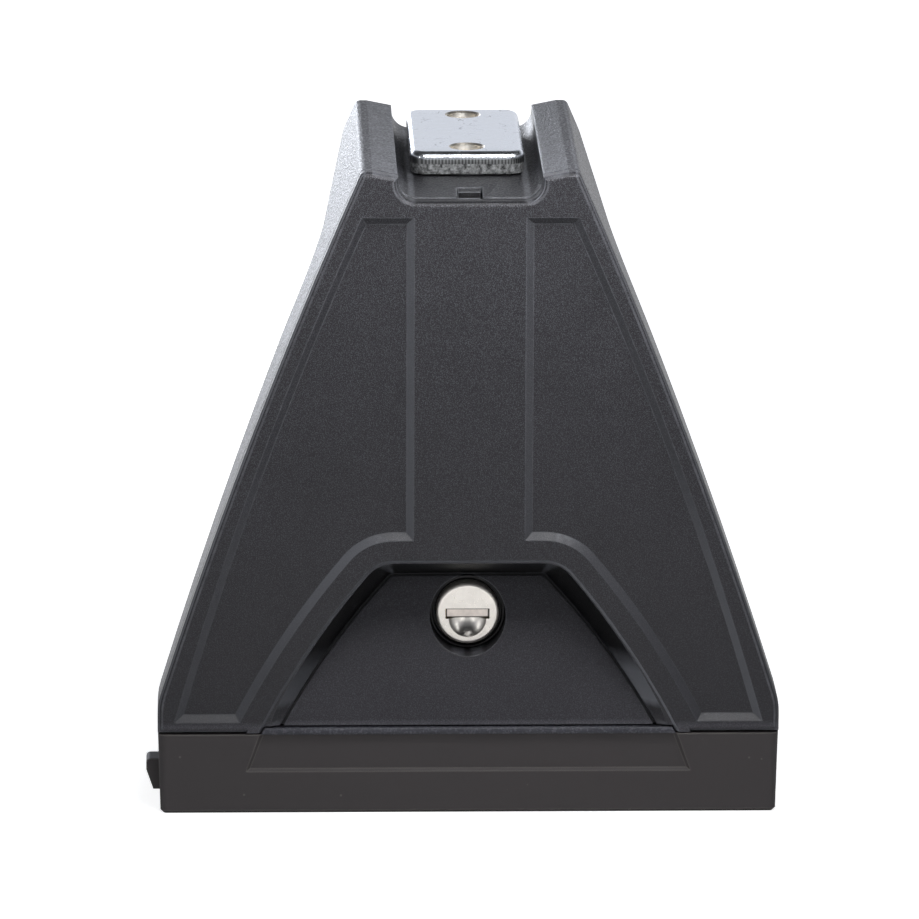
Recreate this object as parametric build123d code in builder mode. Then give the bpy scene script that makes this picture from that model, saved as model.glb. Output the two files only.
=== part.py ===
"""Roof bar foot for a roof track: moulded tower with a locking front cover, rubber base pad and bar plate.

Millimetres. +Z is up, the front faces -Y, and the origin is the middle of the pad's underside.
"""

import os
from math import atan, cos, degrees, radians, sin

from build123d import *

# Overall form, taken from the front view
height = 123.3
base_width = 116.8
base_depth = 40.0
base_taper = 1.5
top_width = 40.4
arm_length = 66.0
pad_height = 15.5
skirt_top = 21.4
skirt_radius = 12.0
flank_bow = 1.45
horn_radius = 1.2

# Walls of the tower
wall = 3.0
flange_thick = 2.1
floor_top = 21.0
column_inset = 6.0
rear_corner = 9.0
front_corner = 1.6

# Saddle on top
saddle_depth = 5.3
saddle_half = 13.5
saddle_corner = 3.5
horn_fall = 0.95
horn_ridge = 2.0
deck_thick = 5.5
notch_width = 4.7
notch_length = 12.0

# Side view of the flanks, as depths behind the front plane and drops below the top
flank_depth_top = 20.0
flank_depth_foot = 9.5
flank_knee_drop = 35.3
arm_root_drop = 17.6
arm_root_round = 12.0
arm_tip_lap = 0.5
arm_tip_round = 1.5
deck_margin = 1.6
arm_hollow_drop = 28.3
column_depth = 38.0
column_knee = 50.0

# Front cover
cover_thick = 3.0
cover_gap = 0.25
cover_edge = 1.1
panel_border = 3.2
panel_foot_border = 3.1
panel_bow = 1.9
panel_inner = 10.4
panel_drop = 8.5
panel_foot = 17.8
panel_sink = 1.15
panel_bevel = 50.0
pocket_border = 4.3
lip_depth = 3.0
lip_thick = 1.6
lip_gap = 0.45
lip_foot = 26.0
lip_top = 80.0
tongue_gap = 0.25
tongue_sink = 1.6
tongue_thick = 3.0
tongue_end_gap = 0.6
hook_length = 2.2
hook_sink = 0.3

# Lock pocket in the cover
pocket_top = 48.7
pocket_top_half = 17.1
pocket_foot_half = 39.3
pocket_bow = 1.25
pocket_corner = 6.5
pocket_inset = 4.8
pocket_foot_inset = 2.5
pocket_groove = 0.6
pocket_groove_depth = 0.9
pocket_lean = 21.0
pocket_foot_sink = 0.6
pocket_wall = 2.2
pocket_rim = 0.45
pocket_rim_slope = 45.0
sill_height = 1.2
sill_depth = 6.0
pocket_room_half = 43.5
pocket_room_depth = 8.0

# Lock
lock_height = 36.2
lock_face_depth = 10.0
face_proud = 1.5
core_radius = 5.9
core_edge = 0.6
core_fit = 0.08
core_length = 12.0
core_tail_radius = 4.5
core_tail_length = 3.0
drive_side = 5.0
drive_length = 2.3
slot_width = 8.3
slot_height = 2.0
slot_depth = 9.8
scoop_width = 7.1
scoop_sink = 1.5
sleeve_radius = 7.1
sleeve_fit = 0.05
sleeve_end_gap = 0.4
mouth_radius = 6.6
mouth_depth = 1.7
boss_wall = 1.9
boss_end_depth = 19.0
clip_thick = 1.0
clip_bite = 0.5
clip_wall = 2.4
clip_fit = 0.05
tongue_reach = 12.0
tongue_width = 7.0
tongue_plate = 2.5
screw_radius = 1.5
screw_fit = 0.05
screw_length = 6.0
screw_head_radius = 3.4
screw_head_height = 2.2
screw_recess = 1.2
washer_radius = 4.0
washer_thick = 0.8

# Wafers in the core
wafer_count = 5
wafer_pitch = 1.8
wafer_first = 1.6
wafer_thick = 1.0
wafer_width = 9.0
wafer_height = 4.6
wafer_fit = 0.1
wafer_window_height = 2.0
wafer_window_width = 6.0
wafer_shift = 0.5
shutter_sink = 0.7
shutter_thick = 0.3
shutter_fit = 0.1

# Keeper rib on the floor of the tower
keeper_width = 18.0
keeper_thick = 2.8
keeper_gap = 1.0
keeper_top = 27.6
rib_thick = 2.0
rib_spread = 18.0
rib_depth = 7.0

# Bar plate and its bolts
plate_width = 21.5
plate_thick = 4.2
plate_front_depth = 21.6
plate_rear_gap = 4.3
plate_corner = 3.0
plate_roll = 1.0
plate_seat = 0.1
plate_rise = 3.0
bolt_radius = 3.0
bolt_edge = 5.5
bolt_bevel = 0.5
bolt_fit = 0.05
hole_bevel = 0.35
bolt_short = 1.4
bolt_head_radius = 5.0
bolt_head_height = 4.0
bolt_hex = 5.0
bolt_hex_depth = 2.5
bolt_washer_radius = 6.0
bolt_washer_thick = 1.6
bush_radius = 4.6
bush_bore = 3.3
bush_fit = 0.02
bush_proud = 0.25
rise_gap = 0.3

# Base fixing
fixing_spacing = 64.0
base_bush_radius = 5.0
boss_radius = 9.0
load_plate_side = 22.0
load_plate_thick = 3.0
load_plate_corner = 2.0

# Base pad
pad_floor = 5.0
pad_wall = 4.0
pad_fit = 0.1
pad_draft = 0.4
pad_foot_bevel = 0.6
pad_bore = 5.5
apron_sink = 0.7
apron_slope = 45.0
apron_top_half = 39.0
apron_foot_half = 42.1
apron_foot = 8.0
lug_low = 3.7
lug_high = 9.6
lug_head = 2.1
lug_thick = 2.2
lug_bite = 1.5
lug_tip = 0.9
lug_round = 0.75
lug_width = 5.0
lug_depth = 7.0

# Levels and planes that follow from the above
base_half = base_width / 2
top_half = top_width / 2
front = -base_depth / 2
body_front = front + cover_thick + cover_gap
cover_back = front + cover_thick
arm_rear = front + arm_length
saddle_floor = height - saddle_depth
deck_under = saddle_floor - deck_thick
arm_root = height - arm_root_drop
arm_tip = saddle_floor - arm_tip_lap
deck_half = top_half + deck_margin
arm_hollow_foot = height - arm_hollow_drop
flank_knee = height - flank_knee_drop
panel_top = height - panel_drop
flank_run = (base_half - top_half) / (height - skirt_top)
flank_top_y = front + flank_depth_top
flank_foot_y = front + flank_depth_foot
column_y = front + column_depth
over = 10.0
cover_foot = pad_height + cover_gap
sill_top = pad_height + sill_height
bush_top = saddle_floor + bush_proud
plate_low = bush_top + plate_seat
plate_top = plate_low + plate_thick
plate_length = arm_length - plate_front_depth - plate_rear_gap
plate_mid = front + plate_front_depth + plate_length / 2
bolt_spacing = plate_length - 2 * bolt_edge
bolt_spots = [(0, plate_mid - bolt_spacing / 2), (0, plate_mid + bolt_spacing / 2)]
washer_top = deck_under - plate_rise - rise_gap
head_top = washer_top - bolt_washer_thick
fixing_spots = [(-fixing_spacing / 2, 0), (fixing_spacing / 2, 0)]
lock_face = front + lock_face_depth
sleeve_face = lock_face + face_proud
core_end = lock_face + core_length
tail_end = core_end + core_tail_length
sleeve_end = tail_end - sleeve_end_gap
boss_end = front + boss_end_depth
tongue_back = tail_end + tongue_plate
washer_back = tongue_back + washer_thick
pocket_run = (pocket_foot_half - pocket_top_half) / (pocket_top - pad_height)
panel_normal = (0, -cos(radians(pocket_lean)), sin(radians(pocket_lean)))
panel_plane = Plane((0, front + pocket_foot_sink, pad_height), (1, 0, 0), panel_normal)
front_plane = Plane((0, front, 0), (1, 0, 0), (0, -1, 0))


def lock_plane(y):
    """Plane across the lock's axis at depth y, looking out of the front."""
    return Plane((0, y, lock_height), (1, 0, 0), (0, -1, 0))


def tower_face(inset=0.0):
    """Front silhouette above the pad, with its sides and top moved in by inset."""
    foot = pad_height - inset
    with BuildSketch() as face:
        with BuildLine():
            Polyline((0, foot), (base_half, foot), (base_half, skirt_top))
            SagittaArc((base_half, skirt_top), (top_half, height), -flank_bow)
            Line((top_half, height), (0, height))
            mirror(about=Plane.YZ)
        make_face()
        corners = face.vertices().sort_by(Axis.Y)
        fillet(corners[2:4], radius=skirt_radius)
        fillet(face.vertices().sort_by(Axis.Y)[-2:], radius=horn_radius)
        if inset:
            offset(amount=-inset, kind=Kind.INTERSECTION)
    return face.sketch


def saddle_face(drop=0.0):
    """What is cut from the tower's top: the bar channel and the inward fall of the horns."""
    ridge = top_half - horn_ridge
    with BuildSketch() as face:
        with BuildLine():
            Polyline(
                (0, saddle_floor - drop),
                (saddle_half, saddle_floor - drop),
                (saddle_half, height - horn_fall),
                (ridge, height),
                (ridge, height + over),
                (0, height + over),
            )
            mirror(about=Plane.YZ)
        make_face()
        floor_corners = face.vertices().group_by(Axis.Y)[0]
        fillet(floor_corners, radius=saddle_corner)
    return face.sketch


def pocket_face(inset, foot_inset, stretch=1.0):
    """Outline of the lock pocket above the pad, moved in at its top and its foot, heights measured from the pad."""
    reach = (pocket_top - pad_height - inset) * stretch
    side = inset / cos(atan(pocket_run))
    foot_corner = (pocket_foot_half - foot_inset / cos(atan(pocket_run)), 0)
    top_corner = (pocket_top_half - side + inset * pocket_run, reach)
    with BuildSketch() as face:
        with BuildLine():
            Line((0, 0), foot_corner)
            SagittaArc(foot_corner, top_corner, -pocket_bow)
            Line(top_corner, (0, reach))
            mirror(about=Plane.YZ)
        make_face()
        fillet(face.vertices().group_by(Axis.Y)[-1], radius=pocket_corner - inset)
    return face.sketch


def pocket_frame():
    """Outline of the plain border round the pocket."""
    with BuildSketch() as face:
        add(pocket_face(0, 0))
        offset(amount=pocket_border)
    return face.sketch


def panel_face():
    """Outline of the right-hand panel, from the middle rib to the flank and down to the pocket's border."""
    foot_corner = (base_half - panel_foot_border, panel_foot)
    top_corner = (top_half + panel_drop * flank_run - panel_border, panel_top)
    with BuildSketch() as face:
        with BuildLine():
            Polyline(top_corner, (panel_inner, panel_top), (panel_inner, panel_foot), foot_corner)
            SagittaArc(foot_corner, top_corner, -panel_bow)
        make_face()
        add(Pos(0, pad_height) * pocket_frame(), mode=Mode.SUBTRACT)
    return face.sketch


def sill_face(rise, inset):
    """Strip of the pocket's foot, heights measured from the pad."""
    foot = pocket_foot_half - inset
    top = foot - rise * pocket_run
    with BuildSketch() as face:
        with BuildLine():
            Polyline((-foot, 0), (foot, 0), (top, rise), (-top, rise), close=True)
        make_face()
    return face.sketch


def base_face(inset=0.0):
    """Plan of the base, a little narrower at the rear: small front corners and large rear ones."""
    rear_half = base_half - base_taper
    with BuildSketch() as face:
        with BuildLine():
            Polyline(
                (-base_half, front),
                (base_half, front),
                (rear_half, front + base_depth),
                (-rear_half, front + base_depth),
                close=True,
            )
        make_face()
        fillet(face.vertices().group_by(Axis.Y)[0], radius=front_corner)
        fillet(face.vertices().group_by(Axis.Y)[-1], radius=rear_corner)
        if inset:
            offset(amount=-inset, kind=Kind.INTERSECTION)
    return face.sketch


def side_profile(points):
    """Closed side view drawn from (y, z) points."""
    with BuildSketch() as face:
        with BuildLine():
            Polyline(*points, close=True)
        make_face()
    return face.sketch


# Blocks of the tower: flanks with the arm, and the narrower column behind them
with BuildPart() as flank_block:
    with BuildSketch(Plane.XZ):
        add(tower_face())
    extrude(amount=base_width, both=True)
    with BuildSketch(Plane.YZ) as flank_side:
        add(
            side_profile(
                [
                    (body_front, pad_height - over),
                    (body_front, height + over),
                    (arm_rear, height + over),
                    (arm_rear, arm_tip),
                    (flank_top_y, arm_root),
                    (flank_top_y, flank_knee),
                    (flank_foot_y, pad_height),
                    (flank_foot_y, pad_height - over),
                ]
            )
        )
        tip_corner = flank_side.vertices().sort_by_distance((arm_rear, arm_tip))[0]
        fillet(tip_corner, radius=arm_tip_round)
        root_corner = flank_side.vertices().sort_by_distance((flank_top_y, arm_root))[0]
        fillet(root_corner, radius=arm_root_round)
    extrude(amount=base_width, both=True, mode=Mode.INTERSECT)

with BuildPart() as column_block:
    with BuildSketch(Plane.XZ):
        add(tower_face(column_inset))
        Rectangle(base_width, deck_under, align=(Align.CENTER, Align.MIN), mode=Mode.INTERSECT)
    extrude(amount=base_width, both=True)
    with BuildSketch(Plane.YZ):
        add(
            side_profile(
                [
                    (body_front, pad_height),
                    (body_front, deck_under),
                    (flank_top_y, deck_under),
                    (flank_top_y, arm_hollow_foot),
                    (column_y, column_knee),
                    (column_y, pad_height),
                ]
            )
        )
    extrude(amount=base_width, both=True, mode=Mode.INTERSECT)

with BuildPart() as flank_hollow:
    with BuildSketch(Plane.XZ):
        add(tower_face(wall))
    extrude(amount=base_width, both=True)
    with BuildSketch(Plane.YZ):
        add(
            side_profile(
                [
                    (body_front - over, floor_top),
                    (body_front - over, deck_under),
                    (flank_top_y - wall, deck_under),
                    (flank_top_y - wall, flank_knee),
                    (flank_foot_y - wall, floor_top),
                ]
            )
        )
    extrude(amount=base_width, both=True, mode=Mode.INTERSECT)

with BuildPart() as column_hollow:
    with BuildSketch(Plane.XZ):
        add(tower_face(column_inset + wall))
    extrude(amount=base_width, both=True)
    with BuildSketch(Plane.YZ):
        add(
            side_profile(
                [
                    (body_front, floor_top),
                    (body_front, deck_under),
                    (flank_top_y - wall, deck_under),
                    (flank_top_y - wall, arm_hollow_foot),
                    (column_y - wall, column_knee),
                    (column_y - wall, floor_top),
                ]
            )
        )
    extrude(amount=base_width, both=True, mode=Mode.INTERSECT)

with BuildPart() as arm_hollow:
    with BuildSketch(Plane.XZ):
        add(tower_face(wall))
    extrude(amount=base_width, both=True)
    with BuildSketch(Plane.YZ):
        add(
            side_profile(
                [
                    (flank_top_y, arm_hollow_foot),
                    (flank_top_y, deck_under),
                    (arm_rear - wall, deck_under),
                    (arm_rear - wall, arm_hollow_foot),
                ]
            )
        )
    extrude(amount=base_width, both=True, mode=Mode.INTERSECT)

with BuildPart() as leg_body:
    add(flank_block.part)
    add(column_block.part)
    with BuildSketch(Plane.XY.offset(pad_height)):
        add(base_face())
    extrude(amount=flange_thick)
    # Straight-sided deck of the arm
    with BuildSketch(Plane.XY.offset(deck_under)):
        with Locations((0, flank_top_y - wall)):
            Rectangle(2 * deck_half, arm_rear - flank_top_y + wall, align=(Align.CENTER, Align.MIN))
    extrude(amount=deck_thick)
    add(flank_hollow.part, mode=Mode.SUBTRACT)
    add(column_hollow.part, mode=Mode.SUBTRACT)
    add(arm_hollow.part, mode=Mode.SUBTRACT)
    # Bar channel and horn tops
    with BuildSketch(Plane.XZ):
        add(saddle_face())
    extrude(amount=base_width, both=True, mode=Mode.SUBTRACT)
    # Notch for the cover's tongue
    with BuildSketch(Plane.XY.offset(saddle_floor)):
        with Locations((0, front)):
            Rectangle(notch_width, notch_length, align=(Align.CENTER, Align.MIN))
    extrude(amount=-deck_thick, mode=Mode.SUBTRACT)
    # Room for the cover's two feet beside the sill
    with BuildSketch(front_plane):
        with Locations((0, pad_height)):
            Rectangle(base_width + over, over, align=(Align.CENTER, Align.MIN))
        add(Pos(0, pad_height) * sill_face(sill_height, cover_gap), mode=Mode.SUBTRACT)
    extrude(amount=-(cover_thick + cover_gap), mode=Mode.SUBTRACT)
    # Room for the back of the lock pocket above the sill
    with BuildSketch(Plane.XY.offset(sill_top)):
        with Locations((0, front)):
            Rectangle(2 * pocket_room_half, pocket_room_depth, align=(Align.CENTER, Align.MIN))
    extrude(amount=floor_top - sill_top, mode=Mode.SUBTRACT)
    # Hollow plinth inside the pad, with a boss round each fixing hole
    with BuildSketch(Plane.XY.offset(pad_height)):
        add(base_face(pad_wall + pad_fit))
        add(base_face(pad_wall + pad_fit + wall), mode=Mode.SUBTRACT)
        with Locations(*fixing_spots):
            Circle(boss_radius)
        Rectangle(fixing_spacing, rib_thick)
    extrude(amount=-(pad_height - pad_floor))
    # Keeper rib for the lock tongue and the stiffening ribs of the rear wall
    with BuildSketch(Plane.XY.offset(floor_top)):
        with Locations((0, tail_end - keeper_gap)):
            Rectangle(keeper_width, keeper_thick, align=(Align.CENTER, Align.MAX))
    extrude(amount=keeper_top - floor_top)
    with BuildSketch(Plane.XY.offset(floor_top)):
        with Locations((-rib_spread, column_y - wall), (rib_spread, column_y - wall)):
            Rectangle(rib_thick, rib_depth, align=(Align.CENTER, Align.MAX))
    extrude(amount=column_knee - floor_top)
    # Holes
    with BuildSketch(Plane.XY.offset(saddle_floor)):
        with Locations(*bolt_spots):
            Circle(bush_radius + bush_fit)
    extrude(amount=-deck_thick, mode=Mode.SUBTRACT)
    with BuildSketch(Plane.XY.offset(floor_top)):
        with Locations(*fixing_spots):
            Circle(base_bush_radius + bush_fit)
    extrude(amount=-floor_top, mode=Mode.SUBTRACT)

# Pocket solids shared by the cover
with BuildPart() as pocket_void:
    with BuildSketch(Plane((0, front, pad_height), (1, 0, 0), (0, -1, 0))):
        add(pocket_face(0, 0))
    with BuildSketch(panel_plane):
        add(pocket_face(pocket_inset, pocket_foot_inset, 1 / cos(radians(pocket_lean))))
    loft(ruled=True)

with BuildPart() as pocket_shell:
    with BuildSketch(Plane((0, front, pad_height), (1, 0, 0), (0, -1, 0))):
        add(pocket_face(-pocket_wall, -pocket_wall))
    with BuildSketch(panel_plane.offset(-pocket_wall)):
        add(
            pocket_face(
                pocket_inset - pocket_wall, pocket_foot_inset - pocket_wall, 1 / cos(radians(pocket_lean))
            )
        )
    loft(ruled=True)

with BuildPart() as front_cover:
    with BuildSketch(front_plane):
        add(tower_face())
        add(saddle_face(cover_gap), mode=Mode.SUBTRACT)
        with Locations((0, cover_foot)):
            Rectangle(base_width, height, align=(Align.CENTER, Align.MIN), mode=Mode.INTERSECT)
    extrude(amount=-cover_thick)
    face_rim = front_cover.faces().sort_by(Axis.Y)[0].outer_wire().edges()
    fillet(face_rim, radius=cover_edge)
    add(pocket_shell.part)
    # Two sunk panels with bevelled edges
    with BuildSketch(front_plane):
        add(panel_face())
        mirror(about=Plane.YZ)
    extrude(amount=-panel_sink, taper=panel_bevel, mode=Mode.SUBTRACT)
    # Lock pocket with the boss that carries the lock sleeve
    with BuildSketch(lock_plane(boss_end)):
        Circle(sleeve_radius + boss_wall)
    extrude(amount=boss_end - cover_back)
    add(pocket_void.part, mode=Mode.SUBTRACT)
    with BuildSketch(Plane((0, front, pad_height), (1, 0, 0), (0, -1, 0))):
        add(pocket_face(-pocket_rim, -pocket_rim))
    extrude(amount=-pocket_rim, taper=pocket_rim_slope, mode=Mode.SUBTRACT)
    # Groove round the pocket's panel
    groove_edge = pocket_inset + pocket_groove
    groove_foot = pocket_foot_inset + pocket_groove
    with BuildSketch(panel_plane):
        add(pocket_face(pocket_inset, pocket_foot_inset, 1 / cos(radians(pocket_lean))))
        add(pocket_face(groove_edge, groove_foot, 1 / cos(radians(pocket_lean))), mode=Mode.SUBTRACT)
    extrude(amount=-pocket_groove_depth, mode=Mode.SUBTRACT)
    with BuildSketch(lock_plane(boss_end)):
        Circle(sleeve_radius + sleeve_fit)
    extrude(amount=boss_end - front, mode=Mode.SUBTRACT)
    # Clearance over the body's sill
    with BuildSketch(Plane((0, front, pad_height), (1, 0, 0), (0, -1, 0))):
        add(sill_face(sill_height + cover_gap, 0))
    extrude(amount=-sill_depth, mode=Mode.SUBTRACT)
    with BuildSketch(Plane.XY.offset(sill_top + cover_gap)):
        with Locations((0, cover_back)):
            Rectangle(base_width, base_depth, align=(Align.CENTER, Align.MIN))
    extrude(amount=-pad_height, mode=Mode.SUBTRACT)
    with BuildSketch(Plane.XY.offset(cover_foot)):
        Rectangle(base_width, base_depth)
    extrude(amount=-pad_height, mode=Mode.SUBTRACT)
    # Side lips inside the flanks
    with BuildSketch(Plane((0, cover_back, 0), (1, 0, 0), (0, -1, 0))):
        add(tower_face(wall + lip_gap))
        add(tower_face(wall + lip_gap + lip_thick), mode=Mode.SUBTRACT)
        with Locations((0, lip_foot)):
            Rectangle(base_width, lip_top - lip_foot, align=(Align.CENTER, Align.MIN), mode=Mode.INTERSECT)
    extrude(amount=-lip_depth)
    # Hook tongue in the notch of the saddle
    with BuildSketch(Plane((0, cover_back, saddle_floor - tongue_sink), (1, 0, 0), (0, -1, 0))):
        Rectangle(notch_width - 2 * tongue_gap, tongue_thick, align=(Align.CENTER, Align.MAX))
    extrude(amount=-(notch_length - cover_thick - tongue_end_gap))
    with BuildSketch(Plane.XY.offset(saddle_floor - hook_sink)):
        with Locations((0, front + notch_length - tongue_end_gap)):
            Rectangle(notch_width - 2 * tongue_gap, hook_length, align=(Align.CENTER, Align.MAX))
    extrude(amount=hook_sink - tongue_sink)

with BuildPart() as base_pad:
    with BuildSketch(Plane.XY.offset(pad_height)):
        add(base_face())
    extrude(amount=-pad_height, taper=degrees(atan(pad_draft / pad_height)))
    chamfer(base_pad.faces().sort_by(Axis.Z)[0].outer_wire().edges(), length=pad_foot_bevel)
    with BuildSketch(Plane.XY.offset(pad_floor)):
        add(base_face(pad_wall))
    extrude(amount=pad_height, mode=Mode.SUBTRACT)
    with BuildSketch(Plane.XY):
        with Locations(*fixing_spots):
            Circle(pad_bore)
    extrude(amount=pad_floor, mode=Mode.SUBTRACT)
    # Shallow apron below the lock pocket
    with BuildSketch(front_plane):
        with BuildLine():
            Polyline(
                (-apron_top_half, pad_height + apron_sink),
                (apron_top_half, pad_height + apron_sink),
                (apron_foot_half, apron_foot),
                (-apron_foot_half, apron_foot),
                close=True,
            )
        make_face()
    extrude(amount=-apron_sink, taper=apron_slope, mode=Mode.SUBTRACT)
    # Tapered lug on the left
    lug_root = lug_bite - base_half
    lug_out = -base_half - lug_thick
    with BuildSketch(Plane((0, front + lug_depth + lug_width / 2, 0), (1, 0, 0), (0, -1, 0))) as lug_sketch:
        with BuildLine():
            Polyline(
                (lug_root, lug_high),
                (lug_out, lug_high),
                (lug_out, lug_high - lug_head),
                (-base_half - lug_tip, lug_low),
                (lug_root, lug_low),
                close=True,
            )
        make_face()
        fillet(lug_sketch.vertices().group_by(Axis.X)[0].sort_by(Axis.Y)[-1], radius=lug_round)
    extrude(amount=lug_width)

with BuildPart() as bar_plate:
    with BuildSketch(Plane.XY.offset(plate_low)):
        with Locations((0, plate_mid)):
            RectangleRounded(plate_width, plate_length, plate_corner)
    extrude(amount=plate_thick)
    chamfer(bar_plate.faces().sort_by(Axis.Z)[-1].outer_wire().edges(), length=plate_roll)
    with BuildSketch(Plane.XY.offset(plate_low)):
        with Locations(*bolt_spots):
            Circle(bolt_radius + bolt_fit)
    extrude(amount=plate_thick, mode=Mode.SUBTRACT)
    hole_rims = [wire.edges() for wire in bar_plate.faces().sort_by(Axis.Z)[-1].inner_wires()]
    chamfer(hole_rims, length=hole_bevel)

with BuildPart() as bar_bolts:
    with BuildSketch(Plane.XY.offset(head_top)):
        with Locations(*bolt_spots):
            Circle(bolt_radius)
    extrude(amount=plate_top - bolt_short - head_top)
    chamfer(bar_bolts.faces().group_by(Axis.Z)[-1].edges(), length=bolt_bevel)
    with BuildSketch(Plane.XY.offset(head_top)):
        with Locations(*bolt_spots):
            Circle(bolt_head_radius)
    extrude(amount=-bolt_head_height)
    chamfer(bar_bolts.faces().group_by(Axis.Z)[0].edges(), length=bolt_bevel)
    with BuildSketch(Plane.XY.offset(head_top - bolt_head_height)):
        with Locations(*bolt_spots):
            RegularPolygon(bolt_hex / 2, 6, major_radius=False)
    extrude(amount=bolt_hex_depth, mode=Mode.SUBTRACT)

with BuildPart() as bar_bolt_washers:
    with BuildSketch(Plane.XY.offset(head_top)):
        with Locations(*bolt_spots):
            Circle(bolt_washer_radius)
            Circle(bush_bore, mode=Mode.SUBTRACT)
    extrude(amount=bolt_washer_thick)

with BuildPart() as saddle_bushes:
    with BuildSketch(Plane.XY.offset(bush_top)):
        with Locations(*bolt_spots):
            Circle(bush_radius)
            Circle(bush_bore, mode=Mode.SUBTRACT)
    extrude(amount=deck_under - bush_top)

with BuildPart() as base_bushes:
    with BuildSketch(Plane.XY.offset(floor_top)):
        with Locations(*fixing_spots):
            Circle(base_bush_radius)
            Circle(bush_bore, mode=Mode.SUBTRACT)
    extrude(amount=-(floor_top - pad_floor))

with BuildPart() as load_plates:
    with BuildSketch(Plane.XY.offset(floor_top)):
        with Locations(*fixing_spots):
            RectangleRounded(load_plate_side, load_plate_side, load_plate_corner)
            Circle(bush_bore, mode=Mode.SUBTRACT)
    extrude(amount=load_plate_thick)

with BuildPart() as lock_sleeve:
    with BuildSketch(lock_plane(sleeve_face)):
        Circle(sleeve_radius)
        Circle(core_tail_radius + core_fit, mode=Mode.SUBTRACT)
    extrude(amount=sleeve_face - sleeve_end)
    with BuildSketch(lock_plane(sleeve_face)):
        Circle(core_radius + core_fit)
    extrude(amount=sleeve_face - core_end - core_fit, mode=Mode.SUBTRACT)
    with BuildSketch(lock_plane(sleeve_face)):
        Circle(mouth_radius)
    extrude(amount=-mouth_depth, mode=Mode.SUBTRACT)
    with BuildSketch(lock_plane(boss_end)):
        Circle(sleeve_radius)
        Circle(sleeve_radius - clip_bite, mode=Mode.SUBTRACT)
    extrude(amount=-(clip_thick + 2 * clip_fit), mode=Mode.SUBTRACT)

with BuildPart() as sleeve_clip:
    with BuildSketch(lock_plane(boss_end + clip_fit)):
        Circle(sleeve_radius + clip_wall)
        Circle(sleeve_radius - clip_bite + clip_fit, mode=Mode.SUBTRACT)
        Rectangle(
            2 * (sleeve_radius - clip_bite + clip_fit),
            2 * sleeve_radius + clip_wall,
            align=(Align.CENTER, Align.MAX),
            mode=Mode.SUBTRACT,
        )
    extrude(amount=-clip_thick)

scoop_half = scoop_width / 2
scoop_radius = (scoop_half**2 + scoop_sink**2) / (2 * scoop_sink)
with BuildPart() as scoop:
    with Locations((0, lock_face - scoop_radius + scoop_sink, lock_height - slot_height / 2)):
        Sphere(scoop_radius)
    split(bisect_by=Plane.XY.offset(lock_height - slot_height / 2), keep=Keep.BOTTOM)

with BuildPart() as lock_core:
    with BuildSketch(lock_plane(core_end)):
        Circle(core_radius)
    extrude(amount=core_length)
    fillet(lock_core.faces().sort_by(Axis.Y)[0].edges(), radius=core_edge)
    with BuildSketch(lock_plane(core_end)):
        Circle(core_tail_radius)
    extrude(amount=-core_tail_length)
    with BuildSketch(lock_plane(tail_end)):
        Rectangle(drive_side, drive_side)
    extrude(amount=-drive_length)
    add(scoop.part, mode=Mode.SUBTRACT)
    with BuildSketch(lock_plane(lock_face)):
        Rectangle(slot_width, slot_height)
    extrude(amount=-slot_depth, mode=Mode.SUBTRACT)
    for index in range(wafer_count):
        with BuildSketch(lock_plane(lock_face + wafer_first + index * wafer_pitch - wafer_fit)):
            Rectangle(wafer_width + 2 * (wafer_shift + wafer_fit), wafer_height + 2 * wafer_fit)
        extrude(amount=-(wafer_thick + 2 * wafer_fit), mode=Mode.SUBTRACT)
    with BuildSketch(lock_plane(tail_end + drive_length)):
        Circle(screw_radius + screw_fit)
    extrude(amount=drive_length + core_tail_length, mode=Mode.SUBTRACT)

with BuildPart() as lock_wafers:
    for index in range(wafer_count):
        shift = wafer_shift if index % 2 else -wafer_shift
        with BuildSketch(lock_plane(lock_face + wafer_first + index * wafer_pitch)):
            with Locations((shift, 0)):
                Rectangle(wafer_width, wafer_height)
            Rectangle(wafer_window_width, wafer_window_height, mode=Mode.SUBTRACT)
        extrude(amount=-wafer_thick)

with BuildPart() as dust_shutter:
    with BuildSketch(lock_plane(lock_face + shutter_sink)):
        Rectangle(slot_width - 2 * shutter_fit, slot_height - 2 * shutter_fit)
    extrude(amount=-shutter_thick)

with BuildPart() as lock_tongue:
    with BuildSketch(lock_plane(tail_end)):
        Circle(core_radius)
        with Locations((tongue_reach - tongue_width / 2, 0)):
            Circle(tongue_width / 2)
        Rectangle(tongue_reach - tongue_width / 2, tongue_width, align=(Align.MIN, Align.CENTER))
        Rectangle(drive_side + 2 * screw_fit, drive_side + 2 * screw_fit, mode=Mode.SUBTRACT)
    extrude(amount=-tongue_plate)

with BuildPart() as tongue_washer:
    with BuildSketch(lock_plane(tongue_back)):
        Circle(washer_radius)
        Circle(screw_radius + screw_fit, mode=Mode.SUBTRACT)
    extrude(amount=-washer_thick)

with BuildPart() as tongue_screw:
    with BuildSketch(lock_plane(washer_back)):
        Circle(screw_head_radius)
    extrude(amount=-screw_head_height)
    with BuildSketch(lock_plane(washer_back + screw_head_height)):
        RegularPolygon(screw_radius, 6, major_radius=False)
    extrude(amount=screw_recess, mode=Mode.SUBTRACT)
    with BuildSketch(lock_plane(washer_back)):
        Circle(screw_radius)
    extrude(amount=screw_length)

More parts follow.
